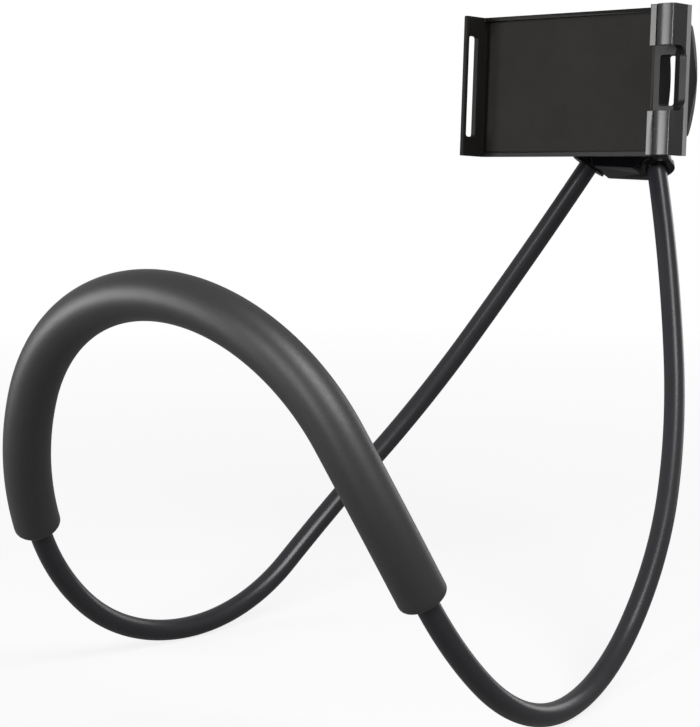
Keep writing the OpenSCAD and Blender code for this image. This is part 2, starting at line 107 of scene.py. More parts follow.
camera = bpy.data.objects.new("camera", bpy.data.cameras.new("camera"))
bpy.context.scene.collection.objects.link(camera)
camera.data.lens = CAMERA["lens"]
camera.data.sensor_width = CAMERA["sensor"]
camera.data.clip_end = 20
camera.matrix_world = place(camera_axes(math.radians(CAMERA["turn"]), math.radians(CAMERA["rise"])),
                            Vector(CAMERA["at"]) * MM)
bpy.context.scene.camera = camera

# %% [markdown]
# The photograph was taken on white, so the camera sees the floor and the world as white, and gloss sees
# a share of it. The light that they give stays plain: a white floor that lit the object from below would
# flatten every black piece. Close to the object, part of the floor's own shading keeps a soft shadow, and
# further out the floor fades into pure white.

# %% Helpers for node trees
def add(tree, kind, at=(0, 0), **values):
    """A node at a place on the grid, with its properties set by name"""
    node = tree.nodes.new(kind)
    node.location = (at[0] * 200, at[1] * -160)
    for name, value in values.items():
        setattr(node, name, value)
    return node


def feed(node, **inputs):
    """Sets unlinked inputs, with underscores for the spaces in their titles"""
    for title, value in inputs.items():
        node.inputs[title.replace("_", " ")].default_value = value
    return node


def join(tree, source, target):
    tree.links.new(source, target)


# %% Stage
FLOOR = {"half": 6, "drop": 0.0005, "lit": 0.15, "seen": 0.95, "gloss": 0.08,
         "glow": (0.82, 1.0), "fade": (0.35, 1.3), "middle": (0, 0.2)}
WORLD = {"lit": 0.2, "gloss": 0.15}


def grey(level):
    return level, level, level, 1


def fresh_material(name, reach):
    """An empty material with its output node, and the tree that leads to it"""
    made = bpy.data.materials.new(name)
    made.use_nodes = True
    made.node_tree.nodes.clear()
    return made, made.node_tree, add(made.node_tree, "ShaderNodeOutputMaterial", (reach, 0))


def camera_share(tree, at, glossy):
    """1 for the camera and through glass, and a share of it for reflections"""
    path = add(tree, "ShaderNodeLightPath", at)
    part = add(tree, "ShaderNodeMath", (at[0] + 1, at[1]), operation="MULTIPLY_ADD")
    part.inputs[1].default_value = glossy
    whole = add(tree, "ShaderNodeMath", (at[0] + 2, at[1]), operation="ADD", use_clamp=True)
    join(tree, path.outputs["Is Glossy Ray"], part.inputs[0])
    join(tree, path.outputs["Is Camera Ray"], part.inputs[2])
    join(tree, part.outputs[0], whole.inputs[0])
    join(tree, path.outputs["Is Transmission Ray"], whole.inputs[1])
    return whole.outputs[0]


def floor_material():
    made, tree, out = fresh_material("white floor", 6)
    mix = add(tree, "ShaderNodeMixShader", (5, 0))
    glow = feed(add(tree, "ShaderNodeEmission", (3, -1)), Color=grey(1), Strength=1.0)
    body = feed(add(tree, "ShaderNodeBsdfPrincipled", (3, 1)), Roughness=0.9, Specular_IOR_Level=0.0)
    seen = camera_share(tree, (-3, 0), FLOOR["gloss"])
    tint = add(tree, "ShaderNodeMix", (1, 1), data_type="RGBA")
    tint.inputs[6].default_value = grey(FLOOR["lit"])
    tint.inputs[7].default_value = grey(FLOOR["seen"])
    where = add(tree, "ShaderNodeTexCoord", (-3, -2))
    away = add(tree, "ShaderNodeVectorMath", (-2, -2), operation="DISTANCE")
    away.inputs[1].default_value = (*FLOOR["middle"], floor_z)
    fade = feed(add(tree, "ShaderNodeMapRange", (-1, -2), clamp=True), From_Min=FLOOR["fade"][0],
                From_Max=FLOOR["fade"][1], To_Min=FLOOR["glow"][0], To_Max=FLOOR["glow"][1])
    share = add(tree, "ShaderNodeMath", (1, -1), operation="MULTIPLY")
    join(tree, seen, tint.inputs[0])
    join(tree, tint.outputs[2], body.inputs["Base Color"])
    join(tree, where.outputs["Object"], away.inputs[0])
    join(tree, away.outputs["Value"], fade.inputs["Value"])
    join(tree, seen, share.inputs[0])
    join(tree, fade.outputs[0], share.inputs[1])
    join(tree, share.outputs[0], mix.inputs[0])
    join(tree, body.outputs[0], mix.inputs[1])
    join(tree, glow.outputs[0], mix.inputs[2])
    join(tree, mix.outputs[0], out.inputs[0])
    return made


floor_z = cad_box[0].z - FLOOR["drop"]
floor_mesh = bpy.data.meshes.new("floor")
floor_mesh.from_pydata([(x * FLOOR["half"], y * FLOOR["half"], floor_z)
                        for x, y in ((-1, -1), (1, -1), (1, 1), (-1, 1))], [], [(0, 1, 2, 3)])
floor = bpy.data.objects.new("floor", floor_mesh)
bpy.context.scene.collection.objects.link(floor)
floor_mesh.materials.append(floor_material())

world = bpy.data.worlds.new("studio")
bpy.context.scene.world = world
world.use_nodes = True
sky = world.node_tree
sky.nodes.clear()
sky_out = add(sky, "ShaderNodeOutputWorld", (4, 0))
plain = feed(add(sky, "ShaderNodeBackground", (2, 0)), Color=grey(1), Strength=WORLD["lit"])
white = feed(add(sky, "ShaderNodeBackground", (2, 1)), Color=grey(1), Strength=1.0)
pick = add(sky, "ShaderNodeMixShader", (3, 0))
join(sky, camera_share(sky, (-2, 0), WORLD["gloss"]), pick.inputs[0])
join(sky, plain.outputs[0], pick.inputs[1])
join(sky, white.outputs[0], pick.inputs[2])
join(sky, pick.outputs[0], sky_out.inputs[0])
print("floor at", round(floor_z, 4))

# %% [markdown]
# Black gloss shows the lamps more than its own colour, so the lamps are placed for their reflections. A
# wide one level with the object on the left is what the jaw's lips mirror, and it lights the top of the
# sleeve's arch. A high one on the right draws the long sheen down the sleeve and a streak on each arm, a
# narrow strip in front adds a second streak, a small one brings up the tray's pad, and one behind shows
# the rear cover to a viewer at the back.

# %% Lamps
# Name, place, aim, width and height in metres, and power in watts
LAMPS = (("left wall of light", (-0.88, -0.8, 0.1), (0.0, 0.25, 0.0), 0.8, 0.7, 7),
         ("high right", (0.93, -0.03, 0.98), (0.0, 0.2, 0.0), 0.6, 0.9, 14),
         ("front strip", (0.32, -1.31, 0.42), (0.0, 0.2, 0.0), 0.1, 0.8, 7),
         ("low left", (-0.62, -0.3, -0.02), (-0.05, 0.08, -0.02), 0.25, 0.2, 0.8),
         ("behind", (0.11, 1.65, 0.25), (0.0, 0.3, 0.0), 0.6, 0.8, 3))


def soft_light(name, at, towards, width, height, power):
    lamp = bpy.data.lights.new(name, "AREA")
    lamp.shape = "RECTANGLE"
    lamp.size = width
    lamp.size_y = height
    lamp.energy = power
    light = bpy.data.objects.new(name, lamp)
    bpy.context.scene.collection.objects.link(light)
    back = (Vector(at) - Vector(towards)).normalized()
    side = Vector((0, 0, 1)).cross(back).normalized()
    light.matrix_world = place((side, back.cross(side), back), Vector(at))


for lamp_row in LAMPS:
    soft_light(*lamp_row)
print("lamps", [(lamp_row[0], lamp_row[-1]) for lamp_row in LAMPS])

scene = bpy.context.scene
scene.view_settings.view_transform = "Standard"

# %% [markdown]
# The arm is one straight tube before it is bent. Its route is a bend table, as a tube bender reads it:
# a length of arc, the bend over that length, and a turn about the tube before the bend. Walking the
# table gives points a few millimetres apart, from the nape to the yoke, and the other half mirrors them.

# %% Route of the arm
# Length of arc in mm, bend and turn in degrees
BENDS = ((111, 63, 0), (77, 22.5, 44), (59, 22.5, 32), (77, 40, 7),
         (78, 39.5, 13), (83, 13.5, -63), (83, 12.5, 37), (116, 7, -8))
FIRST_ROLL = math.radians(-78)
SOCKET_DEPTH = 14 * MM


def walk_arm(step=3.0):
    """Points along one half of the arm, in metres, and the direction at its end"""
    place_now, ahead = Vector(), Vector((1, 0, 0))
    inwards = Vector((0, math.cos(FIRST_ROLL), math.sin(FIRST_ROLL)))
    points = [place_now.copy()]
    for length, bend, roll in BENDS:
        inwards = Matrix.Rotation(math.radians(roll), 3, ahead) @ inwards
        radius = length / math.radians(bend)
        pieces = math.ceil(length / step)
        for k in range(1, pieces + 1):
            a = math.radians(bend) * k / pieces
            points.append((place_now + ahead * radius * math.sin(a)
                           + inwards * radius * (1 - math.cos(a))) * MM)
        a = math.radians(bend)
        place_now = points[-1] / MM
        ahead, inwards = (ahead * math.cos(a) + inwards * math.sin(a),
                          inwards * math.cos(a) - ahead * math.sin(a))
    return points, ahead


half, mouth_way = walk_arm()
mouth = half[-1].copy()
half.append(mouth + mouth_way * SOCKET_DEPTH)
route = [Vector((-p.x, p.y, p.z)) for p in reversed(half[1:])] + half
arm_half = sum((b - a).length for a, b in zip(half, half[1:]))
path_curve = bpy.data.curves.new("arm path", "CURVE")
path_curve.dimensions = "3D"
line = path_curve.splines.new("POLY")
line.points.add(len(route) - 1)
for spot, p in zip(line.points, route):
    spot.co = (*p, 1)
arm_path = bpy.data.objects.new("arm_path", path_curve)
scene.collection.objects.link(arm_path)
print("arm, from end to end", round(2 * arm_half, 4), "m in", len(route), "points")

# %% [markdown]
# Foam sleeve, jacket and screws all start as straight turned stock: rows of (place along, radius) spun
# round the X axis. The last row joins the first, which gives a sleeve a real wall with a bore through it.

# %% Straight stock
def turned(name, rows, sides):
    """A lathe shape round X. Rows are (x, radius), and the seam of its UV map runs along the bottom."""
    mesh = bpy.data.meshes.new(name)
    built = bmesh.new()
    uv = built.loops.layers.uv.new("UVMap")
    angles = [2 * math.pi * k / sides for k in range(sides)]
    rings = [[built.verts.new((x, r * math.sin(a), -r * math.cos(a))) for a in angles] for x, r in rows]
    lengths = [0.0]
    for (x0, r0), (x1, r1) in zip(rows, rows[1:] + rows[:1]):
        lengths.append(lengths[-1] + math.hypot(x1 - x0, r1 - r0))
    for i in range(len(rows)):
        lower, upper = rings[i], rings[(i + 1) % len(rows)]
        for k in range(sides):
            j = (k + 1) % sides
            face = built.faces.new((lower[k], upper[k], upper[j], lower[j]))
            for loop, u, v in zip(face.loops, (k, k, k + 1, k + 1), (i, i + 1, i + 1, i)):
                loop[uv].uv = (u / sides, lengths[v])
    bmesh.ops.recalc_face_normals(built, faces=built.faces)
    built.to_mesh(mesh)
    built.free()
    made = bpy.data.objects.new(name, mesh)
    scene.collection.objects.link(made)
    return made


def spaced(low, high, step):
    """Even places from low to high, no more than a step apart"""
    count = math.ceil((high - low) / step)
    return [low + (high - low) * k / count for k in range(count + 1)]


def sleeve_rows(half_length, outer, bore, rounding, step, steps_round=6):
    """Section of a sleeve with rounded outer rims, from the bore's left end and round"""
    turns = [math.pi / 2 * k / steps_round for k in range(steps_round + 1)]
    rim = [(rounding * (1 - math.cos(a)), outer - rounding * (1 - math.sin(a))) for a in turns]
    rows = [(-half_length, bore)]
    rows += [(-half_length + inset, r) for inset, r in rim]
    rows += [(x, outer) for x in spaced(rounding - half_length, half_length - rounding, step)[1:-1]]
    rows += [(half_length - inset, r) for inset, r in reversed(rim)]
    rows += [(x, bore) for x in reversed(spaced(-half_length, half_length, step)[1:])]
    return rows


# %% [markdown]
# A Geometry Nodes tree does the bending. Each point's X says how far along the path it lies, Sample
# Curve gives the path's place and direction there, and Y and Z become distances across the path. The
# stock keeps its length and its roundness in every bend, which a Curve modifier doesn't promise.

# %% Bend stock along a path
def new_tree(name, inputs):
    """A geometry tree with named inputs: (title, socket type, default)"""
    tree = bpy.data.node_groups.new(name, "GeometryNodeTree")
    tree.interface.new_socket("Geometry", in_out="INPUT", socket_type="NodeSocketGeometry")
    tree.interface.new_socket("Geometry", in_out="OUTPUT", socket_type="NodeSocketGeometry")
    for title, kind, value in inputs:
        socket = tree.interface.new_socket(title, in_out="INPUT", socket_type=kind)
        if value is not None:
            socket.default_value = value
    return tree, add(tree, "NodeGroupInput", (-6, 0)), add(tree, "NodeGroupOutput", (8, 0))


def finish_tree(tree, start, end, shape):
    """Makes copies real and sets the material, so that nothing is lost on export"""
    real = add(tree, "GeometryNodeRealizeInstances", (6, 0))
    paint = add(tree, "GeometryNodeSetMaterial", (7, 0))
    join(tree, shape, real.inputs[0])
    join(tree, real.outputs[0], paint.inputs["Geometry"])
    join(tree, start.outputs["Material"], paint.inputs["Material"])
    join(tree, paint.outputs[0], end.inputs[0])


def bending_tree():
    tree, start, end = new_tree("Bend stock along a path", [
        ("Path", "NodeSocketObject", None), ("Middle", "NodeSocketFloat", 0.0),
        ("Material", "NodeSocketMaterial", None)])
    info = add(tree, "GeometryNodeObjectInfo", (-4, 2), transform_space="RELATIVE")
    where = add(tree, "GeometryNodeInputPosition", (-5, -1))
    parts = add(tree, "ShaderNodeSeparateXYZ", (-4, -1))
    along = add(tree, "ShaderNodeMath", (-3, -1), operation="ADD")
    sample = add(tree, "GeometryNodeSampleCurve", (-2, 1), mode="LENGTH", use_all_curves=True)
    across = add(tree, "ShaderNodeVectorMath", (-1, 0), operation="CROSS_PRODUCT")
    aside = add(tree, "ShaderNodeVectorMath", (0, 1), operation="SCALE")
    upright = add(tree, "ShaderNodeVectorMath", (0, 0), operation="SCALE")
    both = add(tree, "ShaderNodeVectorMath", (1, 0), operation="ADD")
    spot = add(tree, "ShaderNodeVectorMath", (2, 0), operation="ADD")
    bend = add(tree, "GeometryNodeSetPosition", (4, 0))
    smooth = add(tree, "GeometryNodeSetShadeSmooth", (5, 0))
    join(tree, start.outputs["Path"], info.inputs["Object"])
    join(tree, info.outputs["Geometry"], sample.inputs["Curves"])
    join(tree, where.outputs[0], parts.inputs[0])
    join(tree, parts.outputs["X"], along.inputs[0])
    join(tree, start.outputs["Middle"], along.inputs[1])
    join(tree, along.outputs[0], sample.inputs["Length"])
    join(tree, sample.outputs["Tangent"], across.inputs[0])
    join(tree, sample.outputs["Normal"], across.inputs[1])
    join(tree, sample.outputs["Normal"], aside.inputs[0])
    join(tree, parts.outputs["Y"], aside.inputs["Scale"])
    join(tree, across.outputs[0], upright.inputs[0])
    join(tree, parts.outputs["Z"], upright.inputs["Scale"])
    join(tree, aside.outputs[0], both.inputs[0])
    join(tree, upright.outputs[0], both.inputs[1])
    join(tree, both.outputs[0], spot.inputs[0])
    join(tree, sample.outputs["Position"], spot.inputs[1])
    join(tree, start.outputs["Geometry"], bend.inputs["Geometry"])
    join(tree, spot.outputs[0], bend.inputs["Position"])
    join(tree, bend.outputs[0], smooth.inputs[0])
    finish_tree(tree, start, end, smooth.outputs[0])
    return tree


def grown(stock, tree, **inputs):
    """Runs a tree on an object and gives the result back as a plain mesh under the same name"""
    growing = stock.modifiers.new("grow", "NODES")
    growing.node_group = tree
    for item in tree.interface.items_tree:
        if item.item_type == "SOCKET" and item.in_out == "INPUT" and item.name.replace(" ", "_") in inputs:
            growing[item.identifier] = inputs[item.name.replace(" ", "_")]
    bpy.context.view_layer.update()
    seen_now = stock.evaluated_get(bpy.context.evaluated_depsgraph_get())
    mesh = bpy.data.meshes.new_from_object(seen_now)
    stock.modifiers.clear()
    stock.data = mesh
    print(stock.name, len(mesh.polygons), "faces")
    return stock


bend_stock = bending_tree()

# %% [markdown]
# Effects that several finishes share are shader groups with named inputs. They give out heights, masks
# and normals only; each Principled shader stays in its own material, with its plain values on its sockets.

# %% Shared shader groups
def new_group(name, inputs, outputs):
    """A shader group with number inputs: (title, default)"""
    group = bpy.data.node_groups.new(name, "ShaderNodeTree")
    for title, value in inputs:
        socket = group.interface.new_socket(title, in_out="INPUT", socket_type="NodeSocketFloat")
        socket.default_value = value
    for title in outputs:
        kind = "NodeSocketVector" if title == "Normal" else "NodeSocketFloat"
        group.interface.new_socket(title, in_out="OUTPUT", socket_type=kind)
    return group, add(group, "NodeGroupInput", (-5, 0)), add(group, "NodeGroupOutput", (6, 0))


def edges_group():
    """Rounds hard edges in the shading and finds where they are, for polish and wear"""
    group, start, end = new_group("Soft edges", [("Radius", 0.0004), ("Wear", 0.5)], ["Normal", "Edge"])
    soft = add(group, "ShaderNodeBevel", (-3, 1), samples=6)
    own = add(group, "ShaderNodeNewGeometry", (-3, -1))
    same = add(group, "ShaderNodeVectorMath", (-1, 0), operation="DOT_PRODUCT")
    off = add(group, "ShaderNodeMapRange", (0, 0), clamp=True)
    feed(off, From_Min=0.98, From_Max=0.8, To_Min=0, To_Max=1)
    where = add(group, "ShaderNodeTexCoord", (-3, -2))
    patch = feed(add(group, "ShaderNodeTexNoise", (-2, -2)), Scale=160, Detail=4, Roughness=0.65)
    broken = add(group, "ShaderNodeMapRange", (0, -2), clamp=True)
    feed(broken, From_Min=0.42, From_Max=0.62, To_Min=0, To_Max=1)
    mask = add(group, "ShaderNodeMath", (2, 0), operation="MULTIPLY")
    share = add(group, "ShaderNodeMath", (4, 0), operation="MULTIPLY", use_clamp=True)
    join(group, start.outputs["Radius"], soft.inputs["Radius"])
    join(group, soft.outputs[0], same.inputs[0])
    join(group, own.outputs["Normal"], same.inputs[1])
    join(group, same.outputs["Value"], off.inputs["Value"])
    join(group, where.outputs["Object"], patch.inputs["Vector"])
    join(group, patch.outputs[0], broken.inputs["Value"])
    join(group, off.outputs[0], mask.inputs[0])
    join(group, broken.outputs[0], mask.inputs[1])
    join(group, mask.outputs[0], share.inputs[0])
    join(group, start.outputs["Wear"], share.inputs[1])
    join(group, share.outputs[0], end.inputs["Edge"])
    join(group, soft.outputs[0], end.inputs["Normal"])
    return group


def grain_group():
    """The fine spark-eroded grain of a mould, and a slow drift in tone"""
    group, start, end = new_group("Moulded grain", [("Size", 0.0005)], ["Height", "Tone"])
    where = add(group, "ShaderNodeTexCoord", (-4, 0))
    per = add(group, "ShaderNodeMath", (-4, -1), operation="DIVIDE")
    per.inputs[0].default_value = 1.0
    coarse = feed(add(group, "ShaderNodeTexNoise", (-2, 1)), Detail=5, Roughness=0.7)
    slow = feed(add(group, "ShaderNodeTexNoise", (-2, -1)), Scale=22, Detail=3, Roughness=0.5)
    join(group, start.outputs["Size"], per.inputs[1])
    join(group, per.outputs[0], coarse.inputs["Scale"])
    join(group, where.outputs["Object"], coarse.inputs["Vector"])
    join(group, where.outputs["Object"], slow.inputs["Vector"])
    join(group, coarse.outputs[0], end.inputs["Height"])
    join(group, slow.outputs[0], end.inputs["Tone"])
    return group


def handling_group():
    """Faint smudges and hair scratches that fingers leave on a gloss face"""
    group, start, end = new_group("Handling marks", [("Amount", 0.5)], ["Smudge", "Scratch"])
    where = add(group, "ShaderNodeTexCoord", (-5, 0))
    warm = feed(add(group, "ShaderNodeTexNoise", (-3, 1)), Scale=55, Detail=6, Roughness=0.6, Distortion=0.6)
    curve = add(group, "ShaderNodeMapRange", (-1, 1), clamp=True)
    feed(curve, From_Min=0.45, From_Max=0.75, To_Min=0, To_Max=1)
    stretch = add(group, "ShaderNodeMapping", (-4, -1))
    stretch.inputs["Rotation"].default_value = (0.3, 0.5, 0.9)
    stretch.inputs["Scale"].default_value = (1, 14, 1)
    lines = feed(add(group, "ShaderNodeTexNoise", (-2, -1)), Scale=240, Detail=2, Roughness=0.5)
    fine = add(group, "ShaderNodeMapRange", (0, -1), clamp=True)
    feed(fine, From_Min=0.68, From_Max=0.74, To_Min=0, To_Max=1)
    share = add(group, "ShaderNodeMath", (2, 1), operation="MULTIPLY")
    cut = add(group, "ShaderNodeMath", (2, -1), operation="MULTIPLY")
    join(group, where.outputs["Object"], warm.inputs["Vector"])
    join(group, where.outputs["Object"], stretch.inputs["Vector"])
    join(group, stretch.outputs[0], lines.inputs["Vector"])
    join(group, warm.outputs[0], curve.inputs["Value"])
    join(group, lines.outputs[0], fine.inputs["Value"])
    join(group, curve.outputs[0], share.inputs[0])
    join(group, fine.outputs[0], cut.inputs[0])
    for sum_node in (share, cut):
        join(group, start.outputs["Amount"], sum_node.inputs[1])
    join(group, share.outputs[0], end.inputs["Smudge"])
    join(group, cut.outputs[0], end.inputs["Scratch"])
    return group


soft_edges, moulded_grain, handling = edges_group(), grain_group(), handling_group()

# %% [markdown]
# Every moulded piece is the same chain with its own numbers: a dark colour that drifts a little and
# pales where edges are rubbed, a roughness with smudges in it, and a bump made of grain over rounded
# edges. Gloss pieces have nearly no grain and more smudges; satin pieces the other way round.

# %% Moulded plastic and rubber
def use_group(tree, group, at, **values):
    made = add(tree, "ShaderNodeGroup", at)
    made.node_tree = group
    return feed(made, **values)


def span(tree, at, low, high, source):
    """Maps a value of 0 to 1 to another span"""
    made = feed(add(tree, "ShaderNodeMapRange", at), To_Min=low, To_Max=high)
    join(tree, source, made.inputs["Value"])
    return made.outputs[0]


def blended(tree, at, share, first, second):
    """A colour between two, each a plain colour or another node's output"""
    made = add(tree, "ShaderNodeMix", at, data_type="RGBA")
    join(tree, share, made.inputs[0])
    for source, socket in ((first, made.inputs[6]), (second, made.inputs[7])):
        if isinstance(source, tuple):
            socket.default_value = (*source, 1)
        else:
            join(tree, source, socket)
    return made.outputs[2]


def moulded(name, colour, roughness, grain=0.0004, relief=0.00002, wear=0.4, marks=0.3, level=0.5):
    made, tree, out = fresh_material(name, 6)
    body = feed(add(tree, "ShaderNodeBsdfPrincipled", (4, 0)), IOR=1.5, Specular_IOR_Level=level)
    edges = use_group(tree, soft_edges, (-3, -2), Radius=0.0004, Wear=wear)
    texture = use_group(tree, moulded_grain, (-3, 1), Size=grain)
    touch = use_group(tree, handling, (-3, -1), Amount=marks)
    paler = tuple(min(1, c * 1.5 + 0.012) for c in colour)
    darker = tuple(c * 0.85 for c in colour)
    lighter = tuple(c * 1.15 for c in colour)
    tone = blended(tree, (-1, 2), texture.outputs["Tone"], darker, lighter)
    rubbed = blended(tree, (1, 2), edges.outputs["Edge"], tone, paler)
    join(tree, rubbed, body.inputs["Base Color"])
    dull = span(tree, (-1, 0), roughness, min(1, roughness + 0.22), touch.outputs["Smudge"])
    finer = add(tree, "ShaderNodeMath", (1, 0), operation="MULTIPLY_ADD")
    finer.inputs[1].default_value = 0.15
    join(tree, touch.outputs["Scratch"], finer.inputs[0])
    join(tree, dull, finer.inputs[2])
    join(tree, finer.outputs[0], body.inputs["Roughness"])
    bump = feed(add(tree, "ShaderNodeBump", (2, -2)), Strength=1.0, Distance=relief)
    join(tree, texture.outputs["Height"], bump.inputs["Height"])
    join(tree, edges.outputs["Normal"], bump.inputs["Normal"])
    join(tree, bump.outputs[0], body.inputs["Normal"])
    join(tree, body.outputs[0], out.inputs[0])
    return made


tray_plastic = moulded("satin black tray", (0.012, 0.0111, 0.0105), 0.32, relief=0.000008, wear=0.15,
                       level=0.15)
cover_plastic = moulded("grained black cover", (0.016, 0.016, 0.016), 0.5, relief=0.00003, level=0.4)
jaw_plastic = moulded("gloss black jaw", (0.009, 0.009, 0.0095), 0.3, relief=0.000004, wear=0.2, level=0.25)
# Painted highlight: this pale grey stands in for the light on the black sliding jaw's outer side wall
jaw_side_painted_highlight = moulded("jaw side wall painted highlight", (0.26, 0.26, 0.26), 0.34, relief=0.00001, marks=0.4)
lip_plastic = moulded("polished black lip", (0.010, 0.010, 0.0103), 0.24, relief=0.0000005, marks=0.2,
                      level=1.0)
yoke_plastic = moulded("gloss black yoke", (0.004, 0.004, 0.005), 0.2, relief=0.000003, wear=0.1, level=0.15)
joint_plastic = moulded("black joint nylon", (0.018, 0.018, 0.019), 0.34, relief=0.00001)
ring_plastic = moulded("satin black ring", (0.018, 0.018, 0.018), 0.42, relief=0.00002)
pad_rubber = moulded("tray pad rubber", (0.0195, 0.0167, 0.0150), 0.6, grain=0.0003, relief=0.00002, wear=0.2,
                     level=0.2)
liner_nylon = moulded("natural nylon", (0.62, 0.60, 0.53), 0.4, relief=0.00001, wear=0.1)

# %% [markdown]
# Metal here is zinc-plated screws, bright spring wire and the soft aluminium core: one chain of fine
# turned lines and a mottled roughness, with the metal's colour kept plain.

# %% Metals
def bright_metal(name, colour, roughness, grain=0.00015):
    made, tree, out = fresh_material(name, 5)
    body = feed(add(tree, "ShaderNodeBsdfPrincipled", (3, 0)), Metallic=1.0)
    texture = use_group(tree, moulded_grain, (-2, 0), Size=grain)
    edges = use_group(tree, soft_edges, (-2, -2), Radius=0.0002, Wear=0.3)
    tone = blended(tree, (0, 1), texture.outputs["Tone"], tuple(c * 0.9 for c in colour), colour)
    join(tree, tone, body.inputs["Base Color"])
    join(tree, span(tree, (0, 0), roughness, roughness + 0.2, texture.outputs["Height"]),
         body.inputs["Roughness"])
    bump = feed(add(tree, "ShaderNodeBump", (1, -1)), Strength=0.6, Distance=0.00001)
    join(tree, texture.outputs["Height"], bump.inputs["Height"])
    join(tree, edges.outputs["Normal"], bump.inputs["Normal"])
    join(tree, bump.outputs[0], body.inputs["Normal"])
    join(tree, body.outputs[0], out.inputs[0])
    return made


screw_steel = bright_metal("zinc-plated steel", (0.50, 0.50, 0.51), 0.25)
spring_steel = bright_metal("bright spring wire", (0.62, 0.62, 0.63), 0.2)
core_aluminium = bright_metal("soft aluminium", (0.80, 0.81, 0.82), 0.3)

# %% [markdown]
# The sleeve is nitrile foam with a rubbed, half-matt skin: it draws a broad sheen and a faint bloom where
# light grazes it. Its closed pores are a small Voronoi bump, and painted shade darkens the pits of that bump.
# Two noises give the uneven skin.

# %% Foam
def foam_material():
    made, tree, out = fresh_material("closed-cell foam", 6)
    body = add(tree, "ShaderNodeBsdfPrincipled", (4, 0))
    feed(body, Sheen_Weight=0.06, Sheen_Roughness=0.4, Specular_IOR_Level=0.75)
    where = add(tree, "ShaderNodeTexCoord", (-5, 0))
    pores = feed(add(tree, "ShaderNodeTexVoronoi", (-3, 1)), Scale=1900, Randomness=1.0)
    skin = feed(add(tree, "ShaderNodeTexNoise", (-3, -1)), Scale=420, Detail=4, Roughness=0.6)
    slow = feed(add(tree, "ShaderNodeTexNoise", (-3, -2)), Scale=26, Detail=3, Roughness=0.5)
    for texture in (pores, skin, slow):
        join(tree, where.outputs["Object"], texture.inputs["Vector"])
    tone = blended(tree, (-1, 2), slow.outputs[0], (0.020, 0.020, 0.0202), (0.027, 0.027, 0.0272))
    # Painted shade: the colour darkens towards the middle of each pore, where the bump makes a pit
    pore_shade = feed(add(tree, "ShaderNodeMapRange", (-1, 1)), From_Min=0.0, From_Max=0.35, To_Min=0.7,
                 To_Max=0.0)
    join(tree, pores.outputs["Distance"], pore_shade.inputs["Value"])
    join(tree, blended(tree, (1, 2), pore_shade.outputs[0], tone, (0.014, 0.014, 0.0142)),
         body.inputs["Base Color"])
    join(tree, span(tree, (1, 0), 0.40, 0.52, skin.outputs[0]), body.inputs["Roughness"])
    first = feed(add(tree, "ShaderNodeBump", (1, -1)), Strength=0.5, Distance=0.00004)
    second = feed(add(tree, "ShaderNodeBump", (2, -2)), Strength=0.6, Distance=0.00006)
    join(tree, pores.outputs["Distance"], first.inputs["Height"])
    join(tree, skin.outputs[0], second.inputs["Height"])
    join(tree, first.outputs[0], second.inputs["Normal"])
    join(tree, second.outputs[0], body.inputs["Normal"])
    join(tree, body.outputs[0], out.inputs[0])
    return made


foam_skin = foam_material()

# %% [markdown]
# The jacket is extruded, so its only texture is faint lines along its length. They come from noise on
# the UV map, stretched far along the tube, because Object coordinates would not follow the bends.

# %% Jacket rubber
def jacket_material():
    made, tree, out = fresh_material("extruded jacket rubber", 6)
    body = add(tree, "ShaderNodeBsdfPrincipled", (4, 0))
    feed(body, Specular_IOR_Level=0.5, IOR=1.5)
    where = add(tree, "ShaderNodeUVMap", (-5, 0), uv_map="UVMap")
    stretch = add(tree, "ShaderNodeMapping", (-4, 0))
    stretch.inputs["Scale"].default_value = (60, 3, 1)
    drawn = feed(add(tree, "ShaderNodeTexNoise", (-2, 0)), Scale=1, Detail=4, Roughness=0.7)
    place_on = add(tree, "ShaderNodeTexCoord", (-5, -2))
    slow = feed(add(tree, "ShaderNodeTexNoise", (-2, -2)), Scale=30, Detail=4, Roughness=0.6)
    join(tree, where.outputs[0], stretch.inputs["Vector"])
    join(tree, stretch.outputs[0], drawn.inputs["Vector"])
    join(tree, place_on.outputs["Object"], slow.inputs["Vector"])
    join(tree, blended(tree, (0, 2), slow.outputs[0], (0.018, 0.018, 0.0215), (0.027, 0.027, 0.032)),
         body.inputs["Base Color"])
    join(tree, span(tree, (0, 0), 0.22, 0.36, slow.outputs[0]), body.inputs["Roughness"])
    bump = feed(add(tree, "ShaderNodeBump", (2, -1)), Strength=0.5, Distance=0.00005)
    join(tree, drawn.outputs[0], bump.inputs["Height"])
    join(tree, bump.outputs[0], body.inputs["Normal"])
    join(tree, body.outputs[0], out.inputs[0])
    return made


jacket_rubber = jacket_material()

# %% [markdown]
# The foam sleeve is turned straight, with its cut rims rounded, and bent onto the arm with its middle at
# the nape. It replaces the faceted solid of the same size.

# %% Foam sleeve and jacket
FOAM = (190 * MM, 11.25 * MM, 5.65 * MM, 3 * MM)
JACKET = (arm_half, 5.35 * MM, 2.95 * MM, 0.6 * MM)
RING_STEP = 3 * MM


def sleeve(name, size, sides, finish, node):
    """A bent sleeve. Its size is half its length, its outer and bore radius, and the rounding of its rims"""
    made = turned(name, sleeve_rows(*size, RING_STEP), sides)
    grown(made, bend_stock, Path=arm_path, Middle=arm_half, Material=finish)
    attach(made, "neck_loop")
    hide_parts(node)
    return made


foam = sleeve("foam_sleeve", FOAM, 64, foam_skin, "neck_foam")
sleeve("arm_tube", JACKET, 40, jacket_rubber, "arm_jacket")
bpy.data.objects.remove(arm_path)

# %% [markdown]
# The moulded pieces keep their solids' shapes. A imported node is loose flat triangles, so each is copied,
# its doubled points are merged, and its curved faces are shaded smooth between the real edges.

# %% Dressed copies of the moulded pieces
MERGE = 0.002 * MM
SHARP = math.radians(28)


